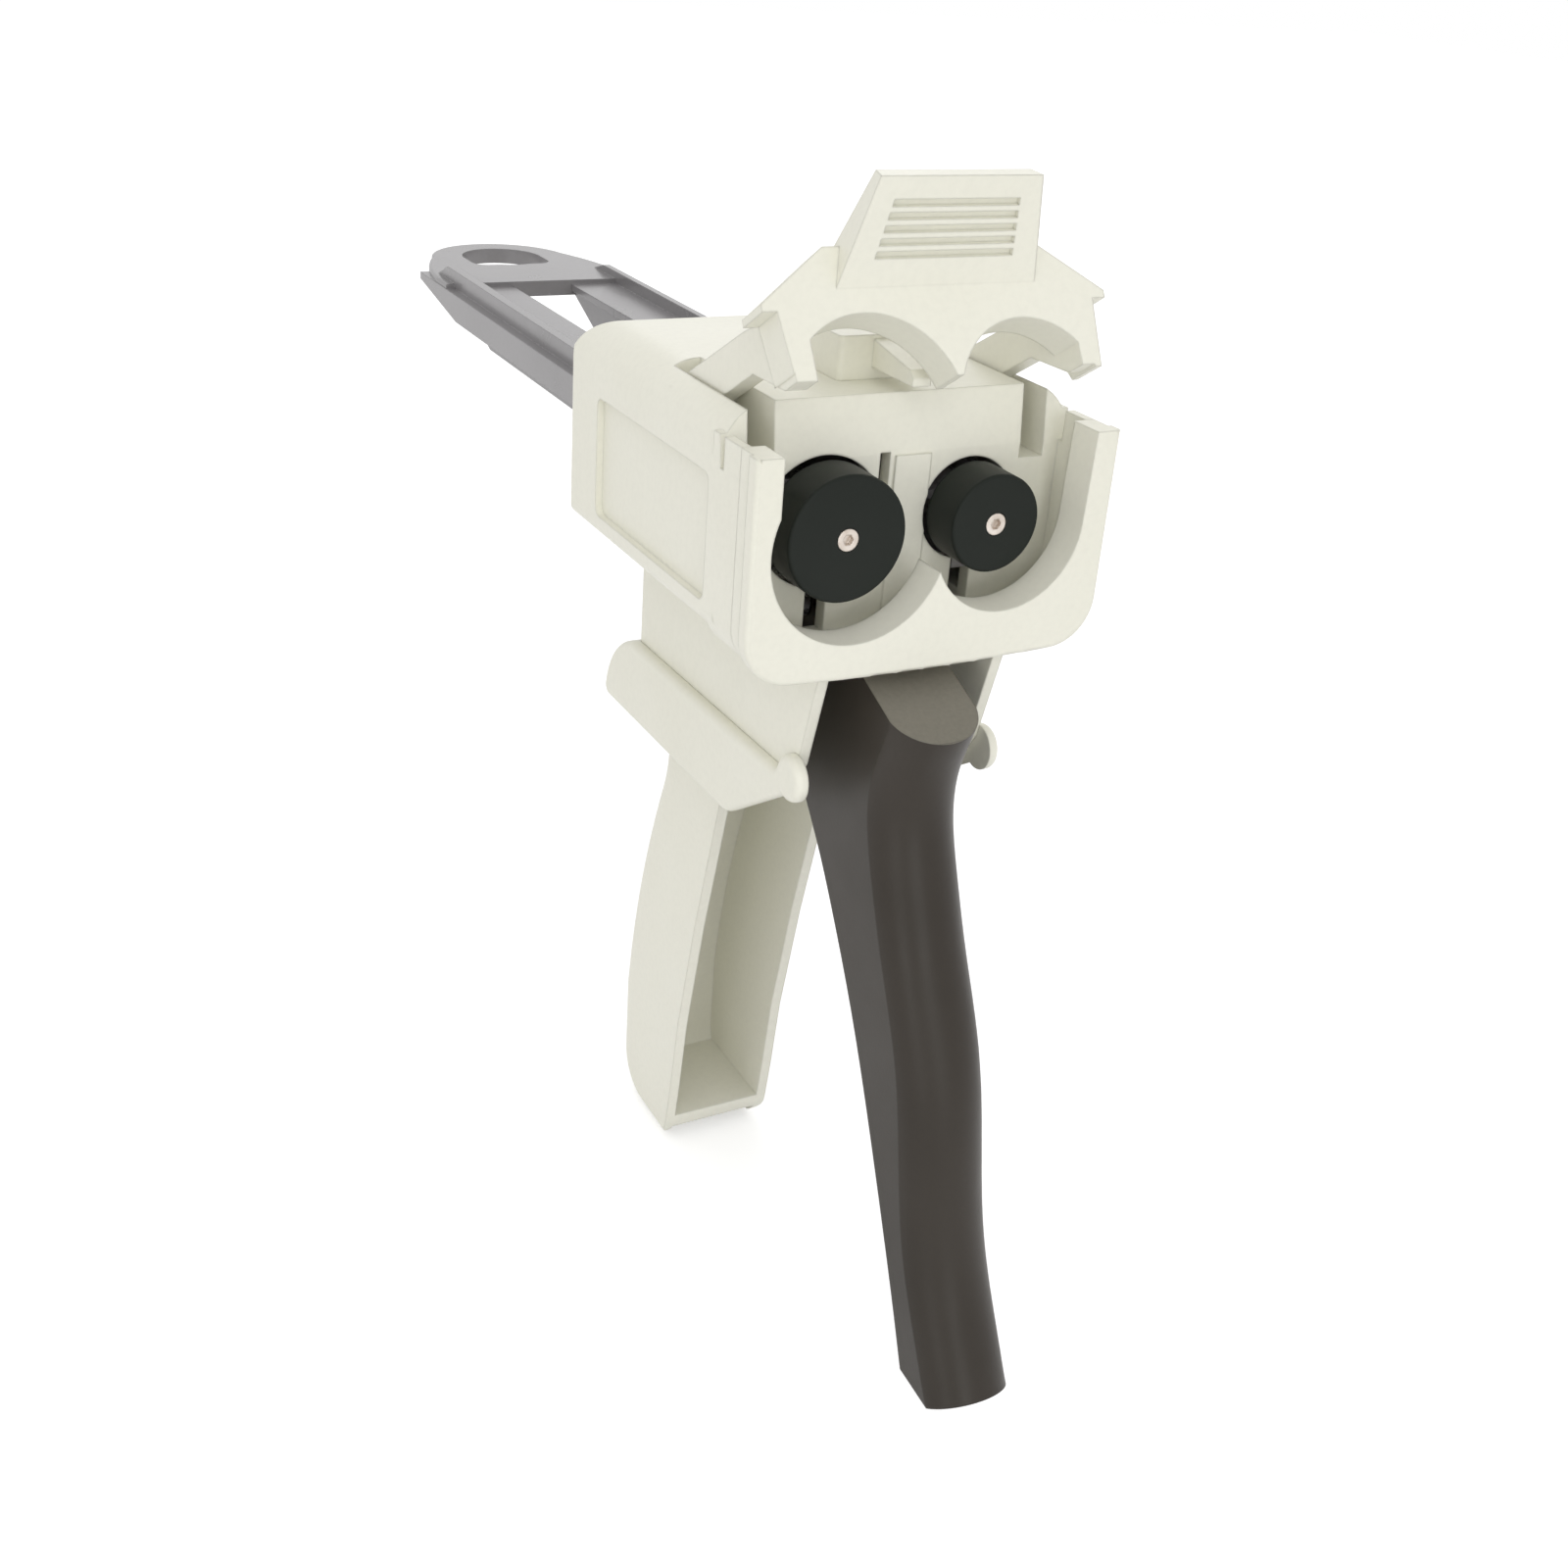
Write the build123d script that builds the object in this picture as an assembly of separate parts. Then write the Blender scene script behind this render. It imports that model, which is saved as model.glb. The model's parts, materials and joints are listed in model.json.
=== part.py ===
from build123d import *
from math import atan2, cos, degrees, hypot, radians, sin
import os

# A hand-held dispensing tool for two-barrel cartridges, in millimetres.
# X is across the tool, +Y is the way the rack comes out of the rear, +Z is up.
# The origin is midway between the two plunger axes, on the front plane of the yoke.

# Clearances
running_gap = 0.05
sliding_gap = 0.4
seat_gap = 0.1
pin_seat_gap = 0.02
side_gap = 0.3
screw_hole_gap = 0.1
slot_gap = 0.5
eps = 1.0

# Overall width of the yoke, the frame behind it and the box
body_half = 29.0

# Plunger axes and pistons
axis_x = 12.4
large_r = 9.45
small_r = 7.45
piston_front = 4.0
piston_length = 7.5
piston_edge = 0.5
piston_screw_head_r = 1.65
piston_screw_head_len = 1.3
piston_screw_r = 1.0
piston_screw_len = 12.0
piston_screw_socket = 0.85
piston_screw_socket_depth = 0.8

# Front yoke
yoke_depth = 6.0
yoke_rim_depth = 2.5
yoke_rim = 0.6
yoke_top = 14.0
yoke_bottom = -19.3
yoke_bow = 1.0
yoke_corner = 7.0
yoke_wall = 3.5
large_scallop_r = 14.2
small_scallop_r = 12.6
small_scallop_lift = 0.6
yoke_edge = 0.7

# Housing box
groove_depth = 6.0
groove_wall = 1.5
groove_corner = 5.5
back_wall = 2.5
frame_rise = 0.3
box_bottom = -15.8
box_top = 18.0
box_rear = 68.0
box_shoulder = 8.0
box_lower_corner = 3.5
box_rear_round = 8.0
box_rear_corner = 2.0
side_wall = 2.2
floor_wall = 2.0
top_wall = 2.0
rear_wall = 3.6
bore_gap = 0.45
keel_slot_gap = 0.35
band_start = 9.3
band_lean = 1.0
rib_slot_width = 1.7
rib_slot_x = -2.65
rib_slot_low = 4.5
rib_slot_high = 9.5
centre_rib_low_x = -1.0
centre_rib_high_x = 5.0
centre_rib_top = 9.0
centre_rib_raise = 0.4
panel_front = 15.5
panel_rear = 56.0
panel_low = -11.5
panel_high = 7.5
panel_depth = 1.2
panel_corner = 1.5

# Neck under the housing box
neck_half = 16.0
neck_wall = 1.8
neck_front_top_y = 2.8
neck_front_drop = 0.2
neck_front_low = (7.0, -36.0)
neck_plug_front = (10.0, -40.6)
neck_plug_slope_end = (22.0, -46.0)
neck_plug_bottom = -46.0
neck_rear = 65.0
neck_boss_r = 4.2
neck_boss_inner = 10.2
spring_shelf_top = -38.0
spring_shelf_wall = 2.0
spring_shelf_front = 52.0
release_window_half = 7.4
release_window_low = -33.0
release_window_high = -20.5

# Handle frame: the collar and the fixed handle
collar_half = 18.0
collar_fit = 0.05
collar_bottom = -53.2
collar_top_rear = (65.0, -38.9)
collar_rear_mid = (73.2, -44.0)
collar_rear_low = (76.6, collar_bottom)
collar_slope_rear = 26.0
collar_nose_centre = (6.6, -37.8)
collar_nose_r = 3.7
collar_nose_low_angle = -68.0
collar_nose_high_angle = -4.0
collar_notch_round = 1.6
collar_rear_round = 2.0
collar_slope_round = 6.0
collar_edge = 1.2
collar_floor_wall = 1.8
collar_web_front = 38.0
collar_web_wall = 1.8
collar_web_top = -20.6
handle_half = 11.0
handle_wall = 2.0
handle_back_wall = 2.4
handle_rear_round = 5.0
handle_bottom = -144.6
handle_floor_low = -140.8
handle_floor_wall = 3.4
handle_overlap = 6.0
handle_top = collar_bottom + handle_overlap
handle_thick = 12.0
handle_front_points = ((39.0, handle_top), (41.4, -61.5), (48.2, -90.0), (52.9, -114.0), (54.8, -130.0))
handle_toe = (57.0, handle_bottom)
handle_heel = (80.0, handle_bottom)
handle_rear_low = (80.2, -118.0)
handle_rear_bulge = (75.4, -91.5)
handle_rear_neck = (66.4, -65.0)
handle_rear_top = (64.4, handle_top)
handle_corner_radii = (
    (handle_toe, 7.5),
    (handle_heel, 11.0),
    (handle_rear_neck, 25.0),
)

# Rear cover
cover_margin = 3.0
cover_low = -13.9
cover_high = 9.8
cover_corner = 3.0
cover_recess = 1.6
cover_wall = 1.4
cover_window_gap = 0.8
cover_window_low = -12.2
cover_window_high = 7.6
cover_screw_r = 1.0
cover_screw_head_r = 1.8
cover_screw_head_len = 1.1
cover_screw_len = 6.0
cover_screw_edge = 2.1
cover_screw_low = -9.6
cover_screw_high = 6.0
cover_boss_r = 2.2

# Twin-bar rack
bar_inner = 6.4
bar_plate_low = 1.2
bar_plate_high = 2.6
bar_side_room = 8.0
large_bar_outer = body_half - bar_side_room
small_bar_less = 1.8
small_bar_outer = large_bar_outer - small_bar_less
large_skirt = 1.4
small_skirt = 1.3
large_skirt_low = -2.7
small_skirt_low = -2.4
large_fin_inset = 3.0
large_fin_x = large_bar_outer - large_fin_inset
large_fin_width = 2.0
large_fin_top = 6.1
small_fin_inset = 2.3
small_fin_x = small_bar_outer - small_fin_inset
small_fin_width = 1.4
small_fin_top = 5.0
keel_width = 2.8
keel_front = 12.2
keel_plain_low = -8.6
keel_taper_start = 150.0
tooth_pitch = 2.4
tooth_depth = 1.5
tooth_tip = -11.0
tooth_count = 37
tooth_start = 14.0
bar_front = 14.0
boss_r = 4.0
boss_rear = 20.0
bridge_front = 156.5
bridge_rear = 173.0
bridge_low = 0.4
ring_top = 3.5
ring_start = 163.0
ring_inset = 0.2
ring_half = large_bar_outer - ring_inset
ring_mid_inset = 2.3
ring_mid = (ring_half - ring_mid_inset, 175.0)
ring_shoulder_inset = 5.8
ring_shoulder = (ring_half - ring_shoulder_inset, 184.0)
ring_tip = 196.0
ring_hole_half = 8.6
ring_hole_centre = 181.4
ring_hole_front = 173.4
ring_hole_corner = 3.0
ring_edge = 0.6

# Lock lever, drawn closed and then swung open
lever_hinge = (33.0, 13.4)
lever_open_angle = 32.8
lever_thickness = 6.0
lever_leg_taper = 0.8
lever_large_arch = 13.4
lever_small_arch = 11.8
lever_leg_low = 4.2
lever_shoulder_inset = 1.6
lever_shoulder_rise = 0.1
lever_shoulder_edge = 1.1
lever_top_half = 16.8
lever_top = 22.6
tab_base_half = 16.2
tab_top_half = 11.8
tab_profile = ((0.0, 16.8), (-11.0, 27.4), (-9.2, 29.0), (3.2, 22.6), (3.8, 16.8))
tab_panel_margin = 2.4
tab_panel_length = 8.9
tab_panel_top_half = 9.7
tab_panel_low_half = 10.9
tab_panel_depth = 0.7
tab_rib_count = 5
tab_rib_width = 0.8
arm_inset = 0.8
arm_width = 3.2
arm_profile_low = ((0.0, 4.6), (3.6, 4.6), (11.6, 9.6))
arm_profile_high = ((11.6, 15.6), (0.0, 14.1))
arm_hub_r = 3.2
arm_slot_low = 7.0
arm_slot_rear = 37.0
pocket_wall = 1.0
pocket_floor = 0.8
lever_pin_r = 1.5
lever_pin_inset = 1.8

# Catch block on top of the housing
catch_half = 7.0
catch_front = 20.0
catch_rear = 31.0
catch_top = 24.5
catch_tenon_half = 4.5
catch_tenon_inset = 2.0
catch_edge = 0.8
catch_nose_half = 1.5
catch_nose_front = 8.6
catch_nose_low = 19.8
catch_nose_tip_top = 22.0
catch_nose_root_top = 24.0

# Trigger
trigger_pivot = (21.5, -25.0)
trigger_pin_r = 2.0
trigger_half = 7.4
trigger_wall = 2.1
trigger_nose_sagitta = 6.0
trigger_top = -20.3
trigger_stations = (
    # height, crest y, rear edge y
    (trigger_top, -7.4, 16.0),
    (-33.0, -7.2, 22.0),
    (-46.0, -7.1, 20.3),
    (-54.0, -10.1, 13.7),
    (-62.0, -13.6, 7.9),
    (-78.0, -21.2, -2.1),
    (-94.0, -25.4, -10.4),
    (-110.0, -29.9, -18.0),
    (-125.0, -37.6, -24.7),
    (-131.4, -41.4, -27.5),
)
trigger_facet_low = (-9.0, -27.4)
trigger_facet_top = (8.3, trigger_top)
trigger_toe = ((-50.0, -121.4), (-34.9, -130.5), (-20.0, -129.0))
trigger_roof = 2.6
trigger_floor = 6.0
trigger_back_opening = 12.0
trigger_least_cheek = 0.5
trigger_hub_r = 6.5

# Drive pawl
pawl_pin_rise = 8.55
pawl_pin_back = 2.8
pawl_pin_r = 1.5
pawl_hub_r = 3.0
pawl_plate = 2.0
pawl_reach = 10.0
pawl_blade_half = 13.7
pawl_tip_gap = 0.75
pawl_blade_height = 2.8
pawl_blade_depth = 3.0

# Release lever
release_pivot = (50.0, -22.0)
release_pin_r = 1.5
release_hub_r = 3.2
release_half = 5.0
release_blade_half = 13.7
release_blade_front = 58.4
release_blade_rear = 61.2
release_blade_height = 2.6
release_tail = ((64.0, -25.2), (80.0, -26.4))
release_tail_thick = 3.0
release_thumb_front = 67.0
release_thumb_half = 6.6
release_thumb_round = 1.2
release_thumb_rise = 0.4
release_blade_fall = 0.6

# Pivot pins
pin_blind_wall = 0.8
pin_end_inset = 0.2
pin_chamfer = 0.25

# Springs
trigger_wire = 0.9
trigger_coil_r = 3.1
trigger_coil_pitch = 1.5
trigger_coil_turns = 4.25
trigger_spring_legs = (14.0, 16.2)
trigger_seat = (15.6, 17.7, -40.5, -32.0)
pawl_wire = 0.5
pawl_coil_r = 2.2
pawl_coil_pitch = 1.0
pawl_coil_turns = 4.25
pawl_spring_legs = (3.6, 11.6)
pawl_spring_lean = -4.0
pawl_seat = (18.0, 21.5, -20.9, -18.6)
release_wire = 0.7
release_coil_r = 2.4
release_coil_turns = 6.5
release_spring_y = 57.0

# Handle screws
handle_screw_y = (32.0, 60.0)
handle_screw_z = -43.0
handle_screw_r = 1.4
handle_screw_head_r = 2.6
handle_screw_head_len = 1.2
handle_screw_len = 9.0
handle_boss_r = 3.0
handle_boss_len = 7.0
handle_screw_inset = 0.1
screw_slot_share = 0.6

# Derived values
yoke_inner_half = body_half - yoke_wall
groove_half = body_half - groove_wall
frame_bottom = yoke_bottom + frame_rise
groove_floor = frame_bottom + floor_wall
neck_front_top = (neck_front_top_y, yoke_bottom - yoke_rim - neck_front_drop)
cover_half = body_half - cover_margin
cover_window_half = large_bar_outer + cover_window_gap
cover_screw_x = cover_half - cover_screw_edge
lever_leg_half = yoke_inner_half - side_gap
lever_shoulder_half = body_half - lever_shoulder_inset
lever_shoulder_low = yoke_top + lever_shoulder_rise
lever_shoulder_high = lever_shoulder_low + lever_shoulder_edge
arm_outer = lever_leg_half - arm_inset
arm_inner = arm_outer - arm_width
arm_slot_inner = arm_inner - slot_gap
arm_slot_outer = arm_outer + slot_gap
lever_pin_half = body_half - lever_pin_inset
back_wall_front = yoke_depth + groove_depth
cavity_front = back_wall_front + back_wall
cavity_rear = box_rear - rear_wall
cover_recess_front = box_rear - cover_recess
pawl_pin = (trigger_pivot[0] + pawl_pin_back, trigger_pivot[1] + pawl_pin_rise)
pawl_inner = trigger_half + side_gap
pawl_tip = tooth_tip - pawl_tip_gap
neck_inner = neck_half - neck_wall
large_bore = large_r + bore_gap
small_bore = small_r + bore_gap


def block(x0, x1, y0, y1, z0, z1):
    return Pos((x0 + x1) / 2, (y0 + y1) / 2, (z0 + z1) / 2) * Box(x1 - x0, y1 - y0, z1 - z0)


def rod_x(radius, x0, x1, y, z):
    return Pos((x0 + x1) / 2, y, z) * Rot(0, 90, 0) * Cylinder(radius, x1 - x0)


def rod_y(radius, y0, y1, x, z):
    return Pos(x, (y0 + y1) / 2, z) * Rot(90, 0, 0) * Cylinder(radius, y1 - y0)


def outline(points):
    return make_face(Polyline(*points, close=True))


def across(face, x0, x1):
    """A face drawn in (y, z), made solid from x0 to x1."""
    return extrude(Plane.YZ.offset(x0) * face, amount=x1 - x0)


def along(face, y0, y1):
    """A face drawn in (x, z), made solid from y0 to y1."""
    return extrude(Plane.XZ.offset(-y0) * face, amount=y0 - y1)


def upright(face, z0, z1):
    """A face drawn in (x, y), made solid from z0 to z1."""
    return extrude(Plane.XY.offset(z0) * face, amount=z1 - z0)


def both_sides(solid):
    return solid + mirror(solid, about=Plane.YZ)


def corner_face(face, radii):
    """Round the corners of a face: radii is a list of ((u, v), radius)."""
    face = face.face()
    for (u, v), radius in radii:
        corner = face.vertices().sort_by_distance((u, v, 0))[0]
        face = face.fillet_2d(radius, [corner])
    return face


def cradle_face(half, bottom, bow, corner, top):
    """The open-topped front outline with a slightly bowed underside."""
    low = bottom + bow
    left = Line((-half, top), (-half, low))
    under = ThreePointArc((-half, low), (0, bottom), (half, low))
    right = Line((half, low), (half, top))
    lid = Line((half, top), (-half, top))
    face = make_face([left, under, right, lid])
    return corner_face(face, [((-half, low), corner), ((half, low), corner)])


def box_face(half, bottom, top, shoulder, lower):
    face = outline([(-half, bottom), (half, bottom), (half, top), (-half, top)])
    radii = [((-half, top), shoulder), ((half, top), shoulder)]
    radii += [((-half, bottom), lower), ((half, bottom), lower)]
    return corner_face(face, radii)


def bar_faces(gap):
    """The (x, z) sections of both bars, grown by a gap on every side."""

    def grown(x0, x1, z0, z1):
        x0, x1, z0, z1 = x0 - gap, x1 + gap, z0 - gap, z1 + gap
        return outline([(x0, z0), (x1, z0), (x1, z1), (x0, z1)])

    half_keel = keel_width / 2
    half_large_fin = large_fin_width / 2
    half_small_fin = small_fin_width / 2
    large = [
        grown(-large_bar_outer, -bar_inner, bar_plate_low, bar_plate_high),
        grown(-large_bar_outer, -large_bar_outer + large_skirt, large_skirt_low, bar_plate_high),
        grown(-large_fin_x - half_large_fin, -large_fin_x + half_large_fin, bar_plate_low, large_fin_top),
        grown(-axis_x - half_keel, -axis_x + half_keel, tooth_tip, bar_plate_high),
    ]
    small = [
        grown(bar_inner, small_bar_outer, bar_plate_low, bar_plate_high),
        grown(small_bar_outer - small_skirt, small_bar_outer, small_skirt_low, bar_plate_high),
        grown(small_fin_x - half_small_fin, small_fin_x + half_small_fin, bar_plate_low, small_fin_top),
        grown(axis_x - half_keel, axis_x + half_keel, tooth_tip, bar_plate_high),
    ]
    return large, small


def swing(solid, pivot, angle):
    """Turn a solid about a line along X through pivot (y, z)."""
    return Pos(0, pivot[0], pivot[1]) * Rot(angle, 0, 0) * Pos(0, -pivot[0], -pivot[1]) * solid


def make_front_yoke():
    body = along(cradle_face(body_half, yoke_bottom, yoke_bow, yoke_corner, yoke_top), 0, yoke_depth)
    rim_half = body_half + yoke_rim
    rim_face = cradle_face(rim_half, yoke_bottom - yoke_rim, yoke_bow, yoke_corner + yoke_rim, yoke_top)
    rim = along(rim_face, 0, yoke_rim_depth)
    front_edges = rim.edges().filter_by_position(Axis.Y, -0.01, 0.01)
    rim = fillet(front_edges, yoke_edge)
    body += rim
    mouth = outline([
        (-yoke_inner_half, 0),
        (axis_x + small_scallop_r, small_scallop_lift),
        (yoke_inner_half, yoke_top + eps),
        (-yoke_inner_half, yoke_top + eps),
    ])
    body -= along(mouth, -eps, yoke_depth + eps)
    body -= rod_y(large_scallop_r, -eps, yoke_depth + eps, -axis_x, 0)
    body -= rod_y(small_scallop_r, -eps, yoke_depth + eps, axis_x, small_scallop_lift)
    return body


def housing_front():
    """Side walls and floor of the flange groove, and the wall behind it."""
    tray_face = cradle_face(body_half, frame_bottom, yoke_bow / 2, yoke_corner, yoke_top)
    tray = along(tray_face, yoke_depth, cavity_front)
    groove = cradle_face(groove_half, groove_floor, yoke_bow / 2, groove_corner, yoke_top + eps)
    tray -= along(groove, yoke_depth - eps, back_wall_front)
    wall_face = box_face(body_half, box_bottom, box_top, box_shoulder, box_lower_corner)
    wall = along(wall_face, back_wall_front, cavity_front)
    band = outline([
        (back_wall_front - eps, band_start),
        (back_wall_front, band_start),
        (back_wall_front + band_lean, box_top),
        (back_wall_front + band_lean, box_top + eps),
        (back_wall_front - eps, box_top + eps),
    ])
    body = tray + wall
    rib = block(
        centre_rib_low_x, centre_rib_high_x,
        back_wall_front - centre_rib_raise, back_wall_front,
        groove_floor, centre_rib_top,
    )
    body += rib
    body -= across(band, -body_half - eps, body_half + eps)
    for x, bore in ((-axis_x, large_bore), (axis_x, small_bore)):
        body -= rod_y(bore, yoke_depth, cavity_front + eps, x, 0)
        half = keel_width / 2 + keel_slot_gap
        body -= block(x - half, x + half, back_wall_front - eps, cavity_front + eps, groove_floor, 0)
    half = rib_slot_width / 2
    body -= block(
        rib_slot_x - half, rib_slot_x + half,
        back_wall_front - eps, cavity_front + eps,
        rib_slot_low, rib_slot_high,
    )
    return body


def rear_rounded(half, bottom, top, front, rear, round_top, corner):
    """A block with its top rear edge rounded along X and its two upright rear corners along Z."""
    side = outline([(front, bottom), (rear, bottom), (rear, top), (front, top)])
    side = corner_face(side, [((rear, top), round_top)])
    plan = outline([(-half, front), (half, front), (half, rear), (-half, rear)])
    plan = corner_face(plan, [((-half, rear), corner), ((half, rear), corner)])
    return across(side, -half, half) & upright(plan, bottom, top)


def housing_box():
    face = box_face(body_half, box_bottom, box_top, box_shoulder, box_lower_corner)
    box = along(face, cavity_front, box_rear)
    box &= rear_rounded(
        body_half, box_bottom, box_top, cavity_front, box_rear, box_rear_round, box_rear_corner,
    )
    inner_half = body_half - side_wall
    inner_low = box_bottom + floor_wall
    inner_top = box_top - top_wall
    inner_face = box_face(inner_half, inner_low, inner_top, box_shoulder - top_wall, box_lower_corner)
    cavity = along(inner_face, cavity_front - eps, cavity_rear)
    inner_round = box_rear_round - top_wall
    cavity &= rear_rounded(
        inner_half, inner_low, inner_top, cavity_front - eps, cavity_rear, inner_round, box_rear_corner,
    )
    box -= cavity
    inner_rear = neck_rear - neck_wall
    box -= block(-neck_inner, neck_inner, cavity_front, inner_rear, box_bottom - eps, inner_low + eps)
    return box


def neck():
    side_points = [
        neck_front_top,
        neck_front_low,
        neck_plug_front,
        neck_plug_slope_end,
        (neck_rear, neck_plug_bottom),
        (neck_rear, box_bottom + floor_wall / 2),
        (cavity_front, box_bottom + floor_wall / 2),
        (cavity_front, frame_bottom + floor_wall / 2),
        (yoke_depth, frame_bottom + floor_wall / 2),
        (yoke_depth, neck_front_top[1]),
    ]
    body = across(outline(side_points), -neck_half, neck_half)
    inner_rear = neck_rear - neck_wall
    body -= block(-neck_inner, neck_inner, -eps, inner_rear, neck_plug_bottom - eps, frame_bottom)
    inner_low = box_bottom + floor_wall
    body -= block(-neck_inner, neck_inner, cavity_front, inner_rear, frame_bottom - eps, inner_low)
    shelf_low = spring_shelf_top - spring_shelf_wall
    body += block(-neck_inner, neck_inner, spring_shelf_front, inner_rear, shelf_low, spring_shelf_top)
    body -= block(
        -release_window_half, release_window_half,
        inner_rear - eps, neck_rear + eps,
        release_window_low, release_window_high,
    )
    return body


def pin_boss(radius, inner, outer, pivot):
    return both_sides(rod_x(radius, inner, outer, pivot[0], pivot[1]))


def pin_bore(radius, blind_left, right_end, pivot):
    """A bore open on the right side and blind on the left."""
    return rod_x(radius + pin_seat_gap, -blind_left, right_end, pivot[0], pivot[1])


def label_panel(side):
    corners = [
        (panel_front, panel_low),
        (panel_rear, panel_low),
        (panel_rear, panel_high),
        (panel_front, panel_high),
    ]
    face = corner_face(outline(corners), [(corner, panel_corner) for corner in corners])
    if side < 0:
        return across(face, -body_half - eps, -body_half + panel_depth)
    return across(face, body_half - panel_depth, body_half + eps)


def lever_slots():
    return both_sides(block(
        arm_slot_inner, arm_slot_outer,
        back_wall_front - eps, arm_slot_rear,
        arm_slot_low, box_top + eps,
    ))


def lever_pockets():
    """Walls that part the lever's slots from the inside of the housing."""
    rear = arm_slot_rear + pocket_wall
    walls = both_sides(block(
        arm_slot_inner - pocket_wall, body_half - side_wall / 2,
        back_wall_front + back_wall / 2, rear,
        arm_slot_low - pocket_floor, box_top,
    ))
    skin_half = body_half - side_wall / 2
    skin_top = box_top - top_wall / 2
    within = box_face(skin_half, box_bottom, skin_top, box_shoulder - top_wall / 2, box_lower_corner)
    return walls & along(within, back_wall_front, rear)


def cover_screw_places():
    return [(x, z) for x in (-cover_screw_x, cover_screw_x) for z in (cover_screw_low, cover_screw_high)]


def make_housing():
    body = housing_front() + housing_box() + neck()
    body += pin_boss(neck_boss_r, neck_boss_inner, neck_inner + neck_wall / 2, trigger_pivot)
    body += pin_boss(release_hub_r, neck_boss_inner, neck_inner + neck_wall / 2, release_pivot)
    body += lever_pockets()
    for x, z in cover_screw_places():
        body += rod_y(cover_boss_r, cavity_rear - cover_screw_len + cover_recess, cavity_rear + eps, x, z)
    for y in handle_screw_y:
        boss_end = neck_half - neck_wall / 2
        body += rod_x(handle_boss_r, neck_half - handle_boss_len, boss_end, y, handle_screw_z)
    body -= label_panel(-1)
    body -= label_panel(1)
    body -= lever_slots()
    body -= pin_bore(trigger_pin_r, neck_half - pin_blind_wall, neck_half + eps, trigger_pivot)
    body -= pin_bore(release_pin_r, neck_half - pin_blind_wall, neck_half + eps, release_pivot)
    body -= pin_bore(lever_pin_r, lever_pin_half, body_half + eps, lever_hinge)
    for x, z in cover_screw_places():
        hole = cover_screw_r + pin_seat_gap
        body -= rod_y(hole, cavity_rear - cover_screw_len, box_rear + eps, x, z)
    for y in handle_screw_y:
        end = collar_half - handle_screw_len - eps / 2
        body -= rod_x(handle_screw_r + pin_seat_gap, end, neck_half + eps, y, handle_screw_z)
    recess = box_face(cover_half, cover_low, cover_high, cover_corner, cover_corner)
    body -= along(recess, cover_recess_front, box_rear + eps)
    window = block(
        -cover_window_half, cover_window_half,
        cavity_rear - eps, box_rear + eps,
        cover_window_low, cover_window_high,
    )
    body -= window
    tenon = catch_tenon_half + seat_gap
    body -= block(
        -tenon, tenon,
        catch_front + catch_tenon_inset - seat_gap, catch_rear - catch_tenon_inset + seat_gap,
        box_top - top_wall - eps, box_top + eps,
    )
    return body


def make_handle_frame():
    body = collar_solid()
    body += handle_solid()
    plug = neck_half + collar_fit
    inner_rear = neck_rear + collar_fit
    web_rear = collar_web_front + collar_web_wall
    body -= block(-plug, plug, -eps, collar_web_front, collar_bottom - eps, box_bottom)
    floor_top = collar_bottom + collar_floor_wall
    body -= block(-plug, plug, web_rear, inner_rear, floor_top, box_bottom)
    plug_low = neck_plug_bottom - collar_fit
    body -= block(-plug, plug, collar_web_front - eps, web_rear + eps, plug_low, box_bottom)
    web_half = neck_inner - collar_fit
    body += block(-web_half, web_half, collar_web_front, web_rear, neck_plug_bottom - eps, collar_web_top)
    body -= handle_channel()
    for y in handle_screw_y:
        body -= rod_x(handle_screw_r + screw_hole_gap, plug - eps, collar_half + eps, y, handle_screw_z)
        head = handle_screw_head_r + screw_hole_gap
        body -= rod_x(head, collar_half - handle_screw_head_len, collar_half + eps, y, handle_screw_z)
    return body


def nose_point(angle):
    y = collar_nose_centre[0] + collar_nose_r * cos(radians(angle))
    z = collar_nose_centre[1] + collar_nose_r * sin(radians(angle))
    return (y, z)


def collar_solid():
    """The hand guard: a flat-topped ledge with a round nose at its front."""
    nose_low = nose_point(collar_nose_low_angle)
    nose_high = nose_point(collar_nose_high_angle)
    edges = [
        Line(nose_high, collar_top_rear),
        ThreePointArc(collar_top_rear, collar_rear_mid, collar_rear_low),
        Line(collar_rear_low, (collar_slope_rear, collar_bottom)),
        Line((collar_slope_rear, collar_bottom), nose_low),
        ThreePointArc(nose_low, nose_point(180), nose_high),
    ]
    face = corner_face(make_face(edges), [
        (nose_high, collar_notch_round),
        (collar_top_rear, collar_rear_round),
        (collar_rear_low, collar_rear_round),
        ((collar_slope_rear, collar_bottom), collar_slope_round),
    ])
    body = across(face, -collar_half, collar_half)
    sides = body.edges().filter_by(lambda edge: abs(abs(edge.center().X) - collar_half) < 0.01)
    return fillet(sides, collar_edge)


def handle_face(forward=0.0):
    """The handle's outline; forward moves its front edge towards the trigger."""
    front_points = [(y - forward, z) for y, z in (*handle_front_points, handle_toe)]
    front = Polyline(*front_points, handle_heel, handle_rear_low)
    rear = ThreePointArc(handle_rear_low, handle_rear_bulge, handle_rear_neck)
    upper = Line(handle_rear_neck, handle_rear_top)
    close = Line(handle_rear_top, front_points[0])
    face = make_face([*front.edges(), rear, upper, close])
    (toe_y, toe_z), toe_round = handle_corner_radii[0]
    corners = [((toe_y - forward, toe_z), toe_round), *handle_corner_radii[1:]]
    return corner_face(face, corners)


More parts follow.
